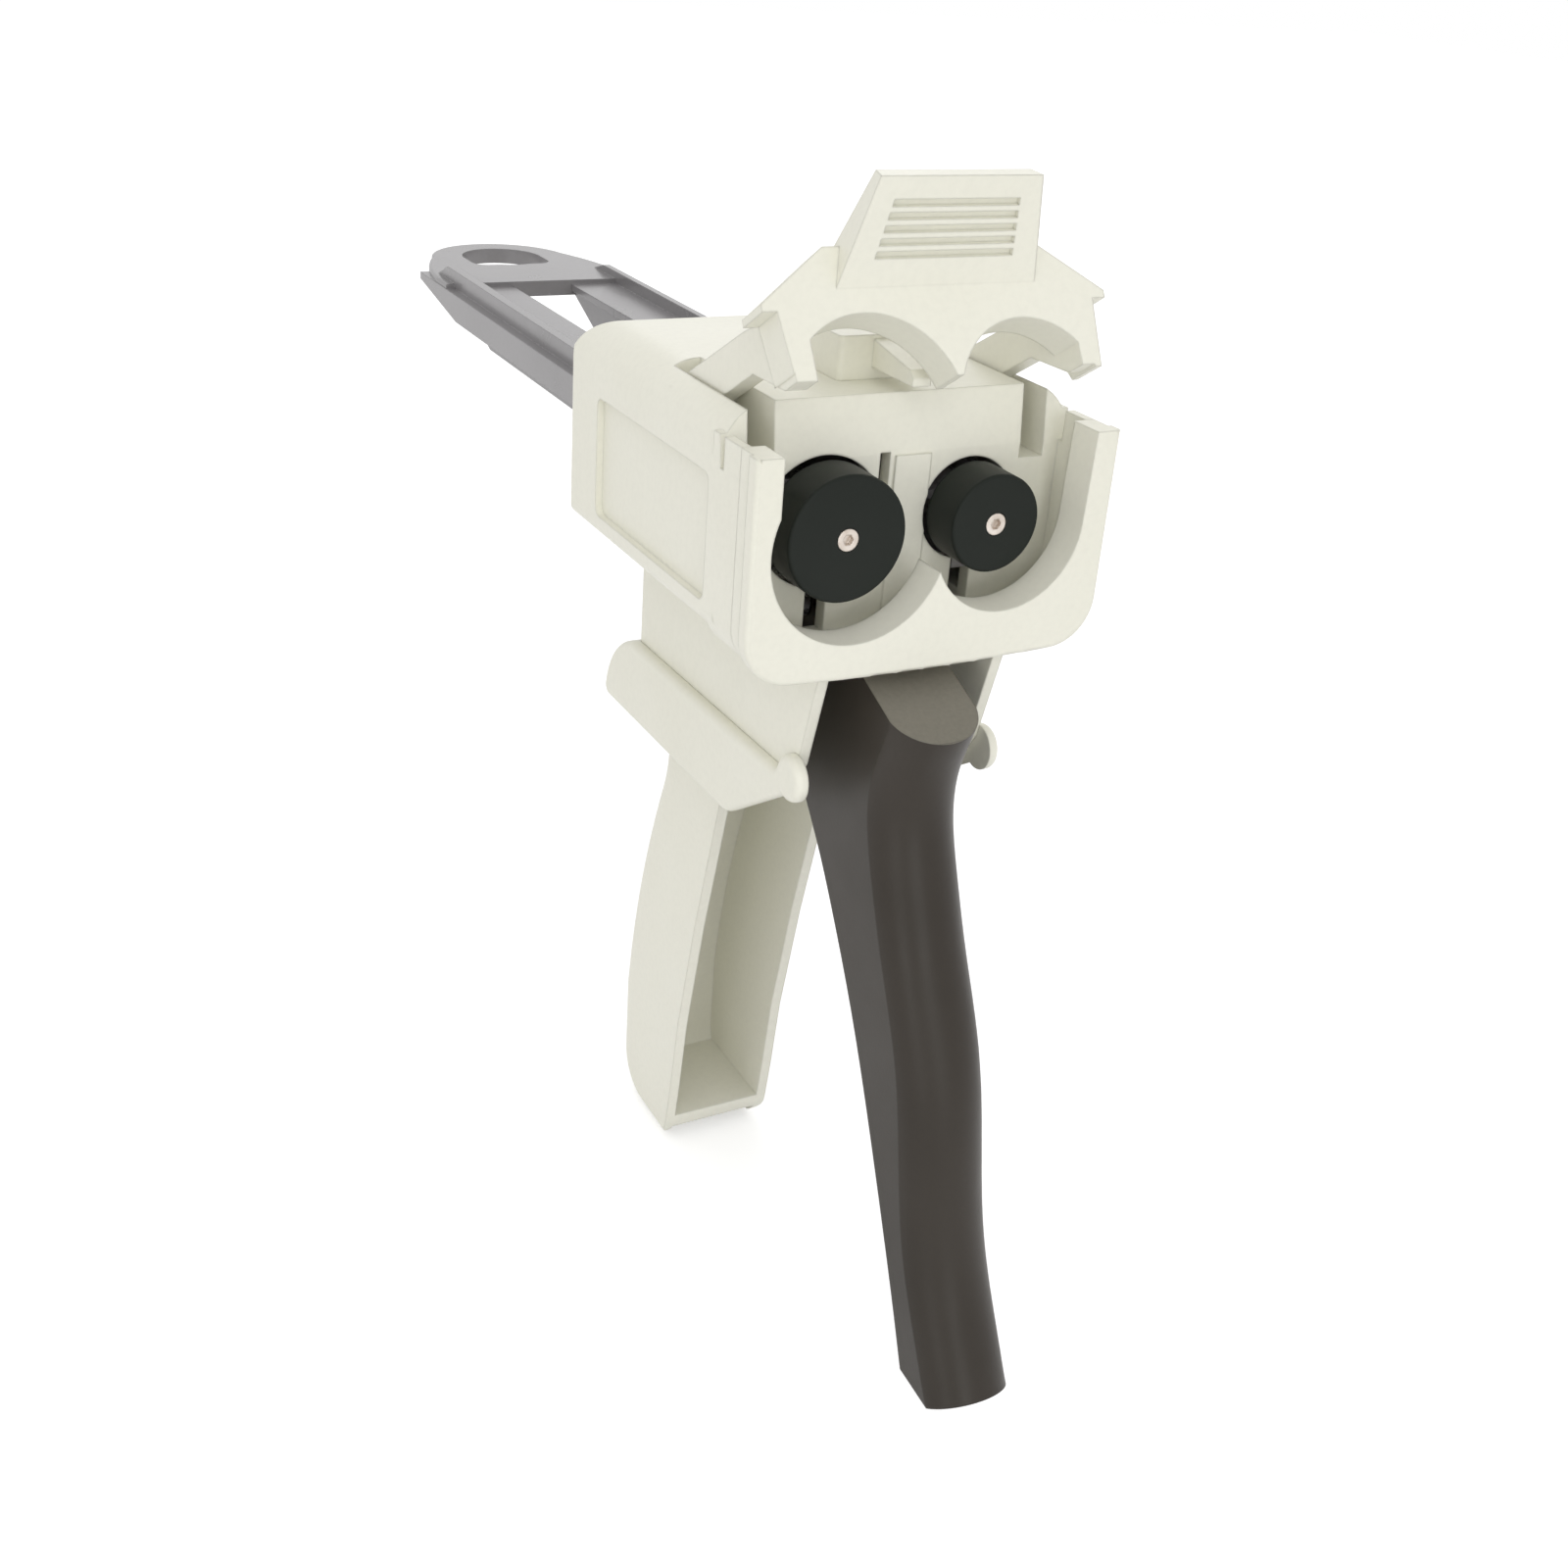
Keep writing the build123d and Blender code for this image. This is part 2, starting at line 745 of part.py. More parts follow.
def handle_solid():
    """Crisp front edges, and a rounded rim down the rear and round the heel."""
    deep = across(handle_face(handle_thick), -handle_half, handle_half)
    sides = deep.edges().filter_by(lambda edge: abs(abs(edge.center().X) - handle_half) < 0.01)
    return fillet(sides, handle_rear_round) & across(handle_face(), -handle_half, handle_half)


def handle_channel():
    """The hollow in front of the back wall, and the shallow one under the floor web."""
    half = handle_half - handle_wall
    inner = across(offset(handle_face(), -handle_back_wall), -half, half)
    forward = Pos(0, -2 * handle_back_wall - eps, 0) * inner
    hollow = inner + forward
    below = Pos(0, 0, -2 * handle_back_wall) * hollow
    floor_top = handle_floor_low + handle_floor_wall
    front = handle_front_points[0][0] - 2 * eps
    rear = handle_heel[0] + eps
    upper_part = block(-half, half, front, rear, floor_top, collar_bottom)
    lower_part = block(-half, half, front, rear, handle_bottom - eps, handle_floor_low)
    return (hollow & upper_part) + (below & lower_part)


def make_rear_cover():
    gap = seat_gap
    face = box_face(cover_half - gap, cover_low + gap, cover_high - gap, cover_corner, cover_corner)
    body = along(face, cover_recess_front, cover_recess_front + cover_wall)
    large, small = bar_faces(sliding_gap)
    for section in large + small:
        body -= along(section, cover_recess_front - eps, box_rear + eps)
    for x, z in cover_screw_places():
        body -= rod_y(cover_screw_r + screw_hole_gap, cover_recess_front - eps, box_rear + eps, x, z)
    return body


def make_rear_cover_screws():
    head_rear = cover_recess_front + cover_wall + cover_screw_head_len
    screws = []
    for x, z in cover_screw_places():
        shank = rod_y(cover_screw_r, head_rear - cover_screw_head_len - cover_screw_len, head_rear, x, z)
        head = rod_y(cover_screw_head_r, head_rear - cover_screw_head_len, head_rear, x, z)
        slot_r = cover_screw_r * screw_slot_share
        slot = rod_y(slot_r, head_rear - cover_screw_head_len / 2, head_rear + eps, x, z)
        screws.append(shank + head - slot)
    return Compound(children=screws)


def make_handle_screws():
    screws = []
    for y in handle_screw_y:
        head_outer = collar_half - handle_screw_inset
        head_inner = collar_half - handle_screw_head_len
        slot_r = handle_screw_r * screw_slot_share
        shank = rod_x(handle_screw_r, collar_half - handle_screw_len, head_outer, y, handle_screw_z)
        head = rod_x(handle_screw_head_r, head_inner, head_outer, y, handle_screw_z)
        slot = rod_x(slot_r, head_inner + handle_screw_head_len / 3, collar_half, y, handle_screw_z)
        screws.append(shank + head - slot)
    return Compound(children=screws)


def make_top_catch():
    body = block(-catch_half, catch_half, catch_front, catch_rear, box_top, catch_top)
    body = fillet(body.edges().filter_by(Axis.Z), catch_edge)
    body += block(
        -catch_tenon_half, catch_tenon_half,
        catch_front + catch_tenon_inset, catch_rear - catch_tenon_inset,
        box_top - top_wall, box_top,
    )
    nose = outline([
        (catch_nose_front, catch_nose_low),
        (catch_front + eps, catch_nose_low),
        (catch_front + eps, catch_nose_root_top),
        (catch_nose_front + eps, catch_nose_tip_top),
        (catch_nose_front, catch_nose_tip_top - eps),
    ])
    body += across(nose, -catch_nose_half, catch_nose_half)
    return body


def bar_shapes(side):
    """Plate, skirt and fin of one bar: side is -1 for the large piston's bar."""
    if side < 0:
        outer, skirt, skirt_low = large_bar_outer, large_skirt, large_skirt_low
        fin_x, fin_width, fin_top = large_fin_x, large_fin_width, large_fin_top
    else:
        outer, skirt, skirt_low = small_bar_outer, small_skirt, small_skirt_low
        fin_x, fin_width, fin_top = small_fin_x, small_fin_width, small_fin_top
    plate = block(bar_inner, outer, bar_front, bridge_rear, bar_plate_low, bar_plate_high)
    skirt_face = outline([
        (bar_front, skirt_low),
        (keel_taper_start, skirt_low),
        (bridge_rear, bar_plate_low),
        (bridge_rear, bar_plate_high),
        (bar_front, bar_plate_high),
    ])
    skirt_solid = across(skirt_face, outer - skirt, outer)
    fin_face = outline([
        (bar_front, bar_plate_low),
        (bridge_rear - fin_top, bar_plate_low),
        (bridge_rear - fin_top, ring_top),
        (bridge_rear - 2 * fin_top, fin_top),
        (bar_front, fin_top),
    ])
    fin = across(fin_face, fin_x - fin_width / 2, fin_x + fin_width / 2)
    solid = plate + skirt_solid + fin
    return solid if side > 0 else mirror(solid, about=Plane.YZ)


def keel_solid(x):
    root = tooth_tip + tooth_depth
    teeth = []
    for index in range(tooth_count):
        start = tooth_start + index * tooth_pitch
        teeth += [(start, root), (start + tooth_pitch, tooth_tip)]
    end = tooth_start + tooth_count * tooth_pitch
    points = [(keel_front, bar_plate_high), (keel_front, root)] + teeth
    points += [
        (end, keel_plain_low),
        (keel_taper_start, keel_plain_low),
        (bridge_rear, bar_plate_low),
        (bridge_rear, bar_plate_high),
    ]
    return across(outline(points), x - keel_width / 2, x + keel_width / 2)


def ring_solid():
    right = [
        Line((ring_half, bridge_front), (ring_half, ring_start)),
        ThreePointArc((ring_half, ring_start), ring_mid, ring_shoulder),
    ]
    left_shoulder = (-ring_shoulder[0], ring_shoulder[1])
    left = [
        ThreePointArc(left_shoulder, (-ring_mid[0], ring_mid[1]), (-ring_half, ring_start)),
        Line((-ring_half, ring_start), (-ring_half, bridge_front)),
    ]
    rear = ThreePointArc(ring_shoulder, (0, ring_tip), left_shoulder)
    front = Line((-ring_half, bridge_front), (ring_half, bridge_front))
    plate = upright(make_face([*right, rear, *left, front]), bridge_low, ring_top)
    tops = plate.edges().filter_by(lambda edge: abs(edge.center().Z - ring_top) < 0.01)
    plate = fillet(tops.filter_by(lambda edge: edge.center().Y > bridge_front + eps), ring_edge)
    hole_face = outline([
        (-ring_hole_half, ring_hole_front),
        (ring_hole_half, ring_hole_front),
        (ring_hole_half, ring_hole_centre),
        (-ring_hole_half, ring_hole_centre),
    ])
    hole_face = corner_face(hole_face, [
        ((-ring_hole_half, ring_hole_front), ring_hole_corner),
        ((ring_hole_half, ring_hole_front), ring_hole_corner),
    ])
    hole = upright(hole_face, bridge_low - eps, ring_top + eps)
    hole += Pos(0, ring_hole_centre, (bridge_low + ring_top) / 2) * Cylinder(ring_hole_half, 2 * ring_top)
    return plate - hole


def make_rack():
    body = bar_shapes(-1) + bar_shapes(1) + ring_solid()
    for x in (-axis_x, axis_x):
        body += keel_solid(x)
        body += rod_y(boss_r, piston_front + piston_length, boss_rear, x, 0)
        hole_end = piston_front + piston_screw_len + piston_screw_head_len
        body -= rod_y(piston_screw_r + pin_seat_gap, piston_front, hole_end, x, 0)
    return body


def make_piston(radius, x):
    body = rod_y(radius, piston_front, piston_front + piston_length, x, 0)
    rims = body.edges().filter_by(GeomType.CIRCLE)
    body = fillet(rims, piston_edge)
    body -= rod_y(piston_screw_r + screw_hole_gap, 0, piston_front + piston_length + eps, x, 0)
    head = piston_screw_head_r + screw_hole_gap
    body -= rod_y(head, 0, piston_front + piston_screw_head_len, x, 0)
    return body


def make_piston_screws():
    screws = []
    for x in (-axis_x, axis_x):
        head_rear = piston_front + piston_screw_head_len
        head = rod_y(piston_screw_head_r, piston_front, head_rear, x, 0)
        shank = rod_y(piston_screw_r, piston_front, head_rear + piston_screw_len - eps, x, 0)
        socket_face = Pos(x, 0) * RegularPolygon(piston_screw_socket, 6)
        socket = along(socket_face, piston_front - eps, piston_front + piston_screw_socket_depth)
        screws.append(head + shank - socket)
    return Compound(children=screws)


def trigger_section(station, narrow, rear_reach):
    """One level section of the blade: a round nose, flat sides and a flat or open back."""
    z, crest, rear = station
    half = trigger_half - narrow
    crest += narrow
    cheek = crest + trigger_nose_sagitta
    back = max(rear + rear_reach, cheek + trigger_least_cheek)
    nose = ThreePointArc((-half, cheek), (0, crest), (half, cheek))
    right = Line((half, cheek), (half, back))
    rear_line = Line((half, back), (-half, back))
    left = Line((-half, back), (-half, cheek))
    return Plane.XY.offset(z) * make_face([nose, right, rear_line, left])


def trigger_hollow():
    """The blade's inside: open at the back, closed under the facet and above the toe."""
    low = trigger_stations[-1][0] + trigger_floor
    front = trigger_toe[0][0]
    back = max(rear for _, _, rear in trigger_stations) + trigger_back_opening
    facet_y, facet_z = trigger_facet_low
    room = outline([
        (facet_y, facet_z - trigger_roof),
        (trigger_facet_top[0], trigger_facet_top[1] - trigger_roof),
        (back, trigger_facet_top[1] - trigger_roof),
        (back, low),
        (front, low),
        (front, facet_z - trigger_roof),
    ])
    hollow = loft([
        trigger_section(station, trigger_wall, trigger_back_opening) for station in trigger_stations
    ])
    return hollow & across(room, -trigger_half, trigger_half)


def trigger_blade():
    return loft([trigger_section(station, 0, 0) for station in trigger_stations]) - trigger_hollow()


def make_trigger():
    body = trigger_blade()
    head = outline([
        (pawl_pin[0] - pawl_hub_r, pawl_pin[1]),
        (pawl_pin[0] + pawl_hub_r, pawl_pin[1]),
        (trigger_pivot[0] + trigger_hub_r, trigger_pivot[1]),
        (trigger_pivot[0] - trigger_hub_r, trigger_pivot[1]),
        (trigger_stations[0][2] - eps, trigger_stations[0][0]),
    ])
    inner_half = trigger_half - trigger_wall
    for x0, x1 in ((-trigger_half, -inner_half), (inner_half, trigger_half)):
        body += across(head, x0, x1)
        body += rod_x(pawl_hub_r, x0, x1, pawl_pin[0], pawl_pin[1])
        body += rod_x(trigger_hub_r, x0, x1, trigger_pivot[0], trigger_pivot[1])
    clear = trigger_stations[0]
    clear_low = clear[0] - trigger_roof - eps
    body -= block(-inner_half, inner_half, clear[2] - eps, clear[2] + 2 * trigger_hub_r, clear_low, 0)
    for y0, y1, z0, z1 in (trigger_seat, pawl_seat):
        body += block(-inner_half - eps, inner_half + eps, y0, y1, z0, z1)
    (toe_front, toe_mid, toe_rear) = trigger_toe
    below = trigger_stations[-1][0] - eps
    toe = outline([toe_front, toe_mid, toe_rear, (toe_rear[0], below), (toe_front[0], below)])
    body -= across(toe, -trigger_half - eps, trigger_half + eps)
    facet = outline([
        trigger_facet_low,
        trigger_facet_top,
        (trigger_facet_top[0], 0),
        (-2 * trigger_half, 0),
        (-2 * trigger_half, trigger_facet_low[1]),
    ])
    body -= across(facet, -trigger_half - eps, trigger_half + eps)
    reach = trigger_half + eps
    body -= rod_x(trigger_pin_r + running_gap, -reach, reach, trigger_pivot[0], trigger_pivot[1])
    body -= rod_x(pawl_pin_r + pin_seat_gap, -reach, reach, pawl_pin[0], pawl_pin[1])
    return body


def make_drive_pawl():
    tip_y = pawl_pin[0] + pawl_reach
    plate = outline([
        (pawl_pin[0], pawl_pin[1] + pawl_hub_r),
        (tip_y, pawl_tip),
        (tip_y + pawl_blade_depth, pawl_tip - pawl_blade_height / 2),
        (tip_y + pawl_blade_depth, pawl_tip - pawl_blade_height),
        (tip_y, pawl_tip - 2 * pawl_blade_height),
        (pawl_pin[0], pawl_pin[1] - pawl_hub_r),
    ])
    body = None
    for x0 in (-pawl_inner - pawl_plate, pawl_inner):
        cheek = across(plate, x0, x0 + pawl_plate)
        cheek += rod_x(pawl_hub_r, x0, x0 + pawl_plate, pawl_pin[0], pawl_pin[1])
        body = cheek if body is None else body + cheek
    blade = outline([
        (tip_y, pawl_tip),
        (tip_y + pawl_blade_depth, pawl_tip - pawl_blade_height / 2),
        (tip_y + pawl_blade_depth, pawl_tip - pawl_blade_height),
        (tip_y, pawl_tip - pawl_blade_height),
    ])
    body += across(blade, -pawl_blade_half, pawl_blade_half)
    reach = pawl_inner + pawl_plate + eps
    body -= rod_x(pawl_pin_r + running_gap, -reach, reach, pawl_pin[0], pawl_pin[1])
    return body


def make_release_lever():
    tip_z = pawl_tip
    (tail_y, tail_z), (thumb_y, thumb_z) = release_tail
    arm = outline([
        (release_pivot[0], release_pivot[1] + release_hub_r),
        (release_blade_front, tip_z - release_blade_height),
        (release_blade_rear, tip_z - release_blade_height),
        (tail_y, tail_z),
        (thumb_y, thumb_z),
        (thumb_y, thumb_z - release_tail_thick),
        (tail_y, tail_z - release_tail_thick),
        (release_pivot[0], release_pivot[1] - release_hub_r),
    ])
    body = across(arm, -release_half, release_half)
    hub_half = neck_boss_inner - side_gap
    body += rod_x(release_hub_r, -hub_half, hub_half, release_pivot[0], release_pivot[1])
    blade = outline([
        (release_blade_front, tip_z),
        (release_blade_rear, tip_z - release_blade_fall),
        (release_blade_rear, tip_z - release_blade_height - release_blade_fall),
        (release_blade_front, tip_z - release_blade_height - release_blade_fall),
    ])
    body += across(blade, -release_blade_half, release_blade_half)
    thumb = block(
        -release_thumb_half, release_thumb_half,
        release_thumb_front, thumb_y,
        thumb_z - release_tail_thick, thumb_z + release_thumb_rise,
    )
    body += fillet(thumb.edges().filter_by(Axis.X), release_thumb_round)
    reach = hub_half + eps
    body -= rod_x(release_pin_r + running_gap, -reach, reach, release_pivot[0], release_pivot[1])
    return body


def make_pin(radius, left, right, pivot):
    body = rod_x(radius, left, right, pivot[0], pivot[1])
    return chamfer(body.edges().filter_by(GeomType.CIRCLE), pin_chamfer)


def coil_tube(helix, legs, wire):
    """One unbroken wire: the helix with straight legs that leave it along its tangents."""
    path = [helix]
    if legs:
        start_leg, end_leg = legs
        first = helix @ 0
        last = helix @ 1
        path = [Line(first - (helix % 0) * start_leg, first), helix, Line(last, last + (helix % 1) * end_leg)]
    wire_path = Wire(path)
    section = Plane(origin=wire_path @ 0, z_dir=wire_path % 0) * Circle(wire / 2)
    return sweep(section, path=wire_path, is_frenet=True)


def least_gap(helix, turns, wire):
    """The least clear distance between two turns, measured on points along the wire's axis."""
    steps = 48
    points = [helix @ (index / (steps * turns)) for index in range(int(steps * turns) + 1)]
    gaps = []
    for first in range(len(points)):
        for second in range(first + steps // 2, len(points)):
            gaps.append((points[first] - points[second]).length)
    return min(gaps) - wire


def torsion_spring(pivot, radius, wire, pitch, turns, lean, legs):
    """A coil round a pin. The first leg comes up on the front side, the second leaves rearward."""
    height = pitch * turns
    helix = Helix(pitch=pitch, height=height, radius=radius, lefthand=True)
    print("torsion spring, least gap between its turns:", round(least_gap(helix, turns, wire), 2))
    place = Pos(-height / 2, pivot[0], pivot[1]) * Rot(lean - 90, 0, 0) * Rot(0, 90, 0)
    return place * coil_tube(helix, legs, wire)


def make_release_spring():
    tail_low = release_pivot[1] - release_hub_r
    share = (release_spring_y - release_pivot[0]) / (release_tail[0][0] - release_pivot[0])
    tail_under = tail_low + (release_tail[0][1] - release_tail_thick - tail_low) * share
    height = tail_under - spring_shelf_top - 2 * release_wire
    helix = Helix(pitch=height / release_coil_turns, height=height, radius=release_coil_r)
    gap = least_gap(helix, release_coil_turns, release_wire)
    print("release spring, least gap between its turns:", round(gap, 2))
    place = Pos(0, release_spring_y, spring_shelf_top + release_wire)
    return place * coil_tube(helix, None, release_wire)


def lever_front_face():
    right = [
        (lever_leg_half - lever_leg_taper, lever_leg_low),
        (lever_leg_half, lever_shoulder_low),
        (lever_shoulder_half, lever_shoulder_low),
        (lever_shoulder_half, lever_shoulder_high),
        (lever_top_half, lever_top),
    ]
    left = [(-x, z) for x, z in reversed(right)]
    return outline(right + left)


def lever_tab():
    body = across(outline(tab_profile), -tab_base_half - eps, tab_base_half + eps)
    base = tab_profile[0][1]
    peak = tab_profile[2][1]
    trapezoid = outline([
        (-tab_base_half, base - eps),
        (tab_base_half, base - eps),
        (tab_top_half, peak + eps),
        (-tab_top_half, peak + eps),
    ])
    body &= along(trapezoid, tab_profile[1][0] - eps, lever_thickness)
    return body - tab_grooves()


def tab_grooves():
    """The shallow panel on the tab's front face, with its cross ribs left standing."""
    base, peak = tab_profile[0], tab_profile[1]
    length = hypot(peak[0] - base[0], peak[1] - base[1])
    tilt = degrees(atan2(base[0] - peak[0], peak[1] - base[1]))
    top = length - tab_panel_margin
    low = top - tab_panel_length
    panel = along(outline([
        (-tab_panel_low_half, low),
        (tab_panel_low_half, low),
        (tab_panel_top_half, top),
        (-tab_panel_top_half, top),
    ]), -eps, tab_panel_depth)
    pitch = tab_panel_length / tab_rib_count
    for index in range(tab_rib_count):
        rib_top = low + (index + 1) * pitch
        panel -= block(
            -tab_base_half, tab_base_half,
            0, tab_panel_depth + eps,
            rib_top - tab_rib_width, rib_top,
        )
    return Pos(0, base[0], base[1]) * Rot(tilt, 0, 0) * panel


def lever_arm(x0, x1):
    hub_y, hub_z = lever_hinge
    low = [*arm_profile_low, (hub_y, hub_z - arm_hub_r)]
    high = [(hub_y, hub_z + arm_hub_r), *arm_profile_high]
    return across(outline(low + high), x0, x1) + rod_x(arm_hub_r, x0, x1, hub_y, hub_z)


def make_lock_lever():
    body = along(lever_front_face(), 0, lever_thickness)
    body -= rod_y(lever_large_arch, -eps, lever_thickness + eps, -axis_x, 0)
    body -= rod_y(lever_small_arch, -eps, lever_thickness + eps, axis_x, 0)
    body += lever_tab()
    body += lever_arm(arm_inner, arm_outer)
    body += lever_arm(-arm_outer, -arm_inner)
    reach = arm_outer + eps
    body -= rod_x(lever_pin_r + running_gap, -reach, reach, lever_hinge[0], lever_hinge[1])
    return swing(body, lever_hinge, -lever_open_angle)


def build_parts():
    pin_left = pin_blind_wall - neck_half
    pin_right = neck_half - pin_end_inset
    pawl_outer = pawl_inner + pawl_plate
    return {
        "housing": make_housing(),
        "front_yoke": make_front_yoke(),
        "handle_frame": make_handle_frame(),
        "handle_screws": make_handle_screws(),
        "rear_cover": make_rear_cover(),
        "rear_cover_screws": make_rear_cover_screws(),
        "top_catch": make_top_catch(),
        "trigger_pin": make_pin(trigger_pin_r, pin_left, pin_right, trigger_pivot),
        "release_pin": make_pin(release_pin_r, pin_left, pin_right, release_pivot),
        "lever_pin": make_pin(lever_pin_r, -lever_pin_half, lever_pin_half, lever_hinge),
        "plunger_rack": make_rack(),
        "large_piston": make_piston(large_r, -axis_x),
        "small_piston": make_piston(small_r, axis_x),
        "piston_screws": make_piston_screws(),
        "trigger": make_trigger(),
        "drive_pawl": make_drive_pawl(),
        "drive_pawl_pin": make_pin(pawl_pin_r, -pawl_outer, pawl_outer, pawl_pin),
        "release_lever": make_release_lever(),
        "trigger_spring": torsion_spring(
            trigger_pivot, trigger_coil_r, trigger_wire,
            trigger_coil_pitch, trigger_coil_turns, 0, trigger_spring_legs,
        ),
        "drive_pawl_spring": torsion_spring(
            pawl_pin, pawl_coil_r, pawl_wire,
            pawl_coil_pitch, pawl_coil_turns, pawl_spring_lean, pawl_spring_legs,
        ),
        "release_spring": make_release_spring(),
        "lock_lever": make_lock_lever(),
    }


def main():
    os.makedirs("parts", exist_ok=True)
    for name, solid in build_parts().items():
        export_step(solid, os.path.join("parts", name + ".step"))
        box = solid.bounding_box()
        print(name, len(solid.solids()), "solids", [round(v, 1) for v in (*box.min, *box.max)])


main()
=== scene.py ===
import bpy
import json
from math import radians, sin, cos
from mathutils import Matrix, Vector


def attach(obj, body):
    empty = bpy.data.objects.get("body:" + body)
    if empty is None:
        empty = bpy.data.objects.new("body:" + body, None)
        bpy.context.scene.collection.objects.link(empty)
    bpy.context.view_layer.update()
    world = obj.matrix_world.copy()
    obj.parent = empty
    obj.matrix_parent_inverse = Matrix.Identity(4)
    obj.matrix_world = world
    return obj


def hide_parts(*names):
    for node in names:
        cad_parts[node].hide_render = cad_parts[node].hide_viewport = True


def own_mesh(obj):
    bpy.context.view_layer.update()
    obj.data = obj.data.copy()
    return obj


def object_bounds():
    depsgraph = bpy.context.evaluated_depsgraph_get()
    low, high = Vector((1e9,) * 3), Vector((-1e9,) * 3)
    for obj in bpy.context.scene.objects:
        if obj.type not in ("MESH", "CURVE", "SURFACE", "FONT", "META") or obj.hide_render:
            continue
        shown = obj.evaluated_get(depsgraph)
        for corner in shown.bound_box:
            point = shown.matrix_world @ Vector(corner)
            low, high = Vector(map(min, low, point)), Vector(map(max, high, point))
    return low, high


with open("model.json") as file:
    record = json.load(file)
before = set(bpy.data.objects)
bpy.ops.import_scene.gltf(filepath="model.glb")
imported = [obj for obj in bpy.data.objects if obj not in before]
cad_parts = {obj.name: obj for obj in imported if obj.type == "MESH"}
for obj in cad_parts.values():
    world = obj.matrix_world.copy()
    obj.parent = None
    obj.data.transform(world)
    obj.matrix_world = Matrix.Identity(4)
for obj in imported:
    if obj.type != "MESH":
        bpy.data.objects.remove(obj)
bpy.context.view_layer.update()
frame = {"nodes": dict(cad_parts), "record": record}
nodes = frame["nodes"]
scene = bpy.context.scene

# Camera, in degrees, metres and millimetres of film
camera_azimuth = -29.55
camera_elevation = 26.78
camera_roll = 4.47
camera_distance = 0.25421
camera_shift_side = -0.02182
camera_shift_top = -0.03425
camera_near = 0.01
sensor_width = 36
lens_length = 41.354

# The trigger's cut facet carries painted light, a paler tone for the light its upward face catches: its
# plane, how far back it reaches, and how far below the plane the painted light fades in
facet_normal = (0.0, -0.3797, 0.9251)
facet_distance = -0.02193
facet_rear = 0.0085
facet_fade_start = 0.00012
facet_fade_end = 0.00004
# The painted light's colour on the facet, and the share of it that its darker specks take
facet_painted_light_colour = (0.20, 0.187, 0.152)
facet_dark_share = 0.9

# Studio
floor_gap = 0.0005
floor_half = 3.0
floor_tone = 0.82
floor_lift = 0.40
world_tint = (1.0, 0.995, 0.995)
world_strength = 0.84


# Camera
def place_camera():
    azimuth = radians(camera_azimuth)
    elevation = radians(camera_elevation)
    roll = radians(camera_roll)
    back = Vector((sin(azimuth) * cos(elevation), -cos(azimuth) * cos(elevation), sin(elevation)))
    right = (-back).cross(Vector((0, 0, 1))).normalized()
    up = right.cross(-back)
    side = cos(roll) * right + sin(roll) * up
    top = -sin(roll) * right + cos(roll) * up
    place = camera_shift_side * side + camera_shift_top * top + back * camera_distance
    data = bpy.data.cameras.new("camera")
    data.sensor_width = sensor_width
    data.lens = lens_length
    data.clip_start = camera_near
    camera = bpy.data.objects.new("camera", data)
    rows = [[side[i], top[i], back[i], place[i]] for i in range(3)] + [[0, 0, 0, 1]]
    camera.matrix_world = Matrix(rows)
    scene.collection.objects.link(camera)
    scene.camera = camera


# Shader nodes
def new_material(name):
    material = bpy.data.materials.new(name)
    material.use_nodes = True
    tree = material.node_tree
    shader = tree.nodes["Principled BSDF"]
    return material, tree, shader


def object_coords(tree):
    return tree.nodes.new("ShaderNodeTexCoord").outputs["Object"]


def noise(tree, scale, detail=4.0, roughness=0.55, stretch=None):
    place = object_coords(tree)
    if stretch is not None:
        mapping = tree.nodes.new("ShaderNodeMapping")
        mapping.inputs["Scale"].default_value = stretch
        tree.links.new(place, mapping.inputs["Vector"])
        place = mapping.outputs["Vector"]
    texture = tree.nodes.new("ShaderNodeTexNoise")
    texture.inputs["Scale"].default_value = scale
    texture.inputs["Detail"].default_value = detail
    texture.inputs["Roughness"].default_value = roughness
    tree.links.new(place, texture.inputs["Vector"])
    return texture.outputs["Fac"]


def ramp(tree, value, low, high):
    """A colour ramp between two stops, each a position and a colour."""
    node = tree.nodes.new("ShaderNodeValToRGB")
    for element, (position, colour) in zip(node.color_ramp.elements, (low, high)):
        element.position = position
        element.color = (*colour, 1.0)
    tree.links.new(value, node.inputs["Fac"])
    return node.outputs["Color"]


def grey(level):
    return (level, level, level)


def mix_colour(tree, a, b, blend, factor=None):
    """Two colours mixed by a factor socket, or in full where none is given."""
    node = tree.nodes.new("ShaderNodeMix")
    node.data_type = "RGBA"
    node.blend_type = blend
    if factor is None:
        node.inputs["Factor"].default_value = 1.0
    else:
        tree.links.new(factor, node.inputs["Factor"])
    tree.links.new(a, node.inputs["A"])
    tree.links.new(b, node.inputs["B"])
    return node.outputs["Result"]


def combine(tree, operation, first, second):
    """A maths node on a socket and a second socket or number."""
    node = tree.nodes.new("ShaderNodeMath")
    node.operation = operation
    tree.links.new(first, node.inputs[0])
    if isinstance(second, bpy.types.NodeSocket):
        tree.links.new(second, node.inputs[1])
    else:
        node.inputs[1].default_value = second
    return node.outputs[0]


def bump(tree, shader, heights, edge=0.0003):
    """Softened edges of a given radius, then heights: a list of (value, distance in metres, strength)."""
    soft = tree.nodes.new("ShaderNodeBevel")
    soft.samples = 4
    soft.inputs["Radius"].default_value = edge
    normal = soft.outputs["Normal"]
    for value, distance, strength in heights:
        node = tree.nodes.new("ShaderNodeBump")
        node.inputs["Distance"].default_value = distance
        node.inputs["Strength"].default_value = strength
        tree.links.new(value, node.inputs["Height"])
        tree.links.new(normal, node.inputs["Normal"])
        normal = node.outputs["Normal"]
    tree.links.new(normal, shader.inputs["Normal"])


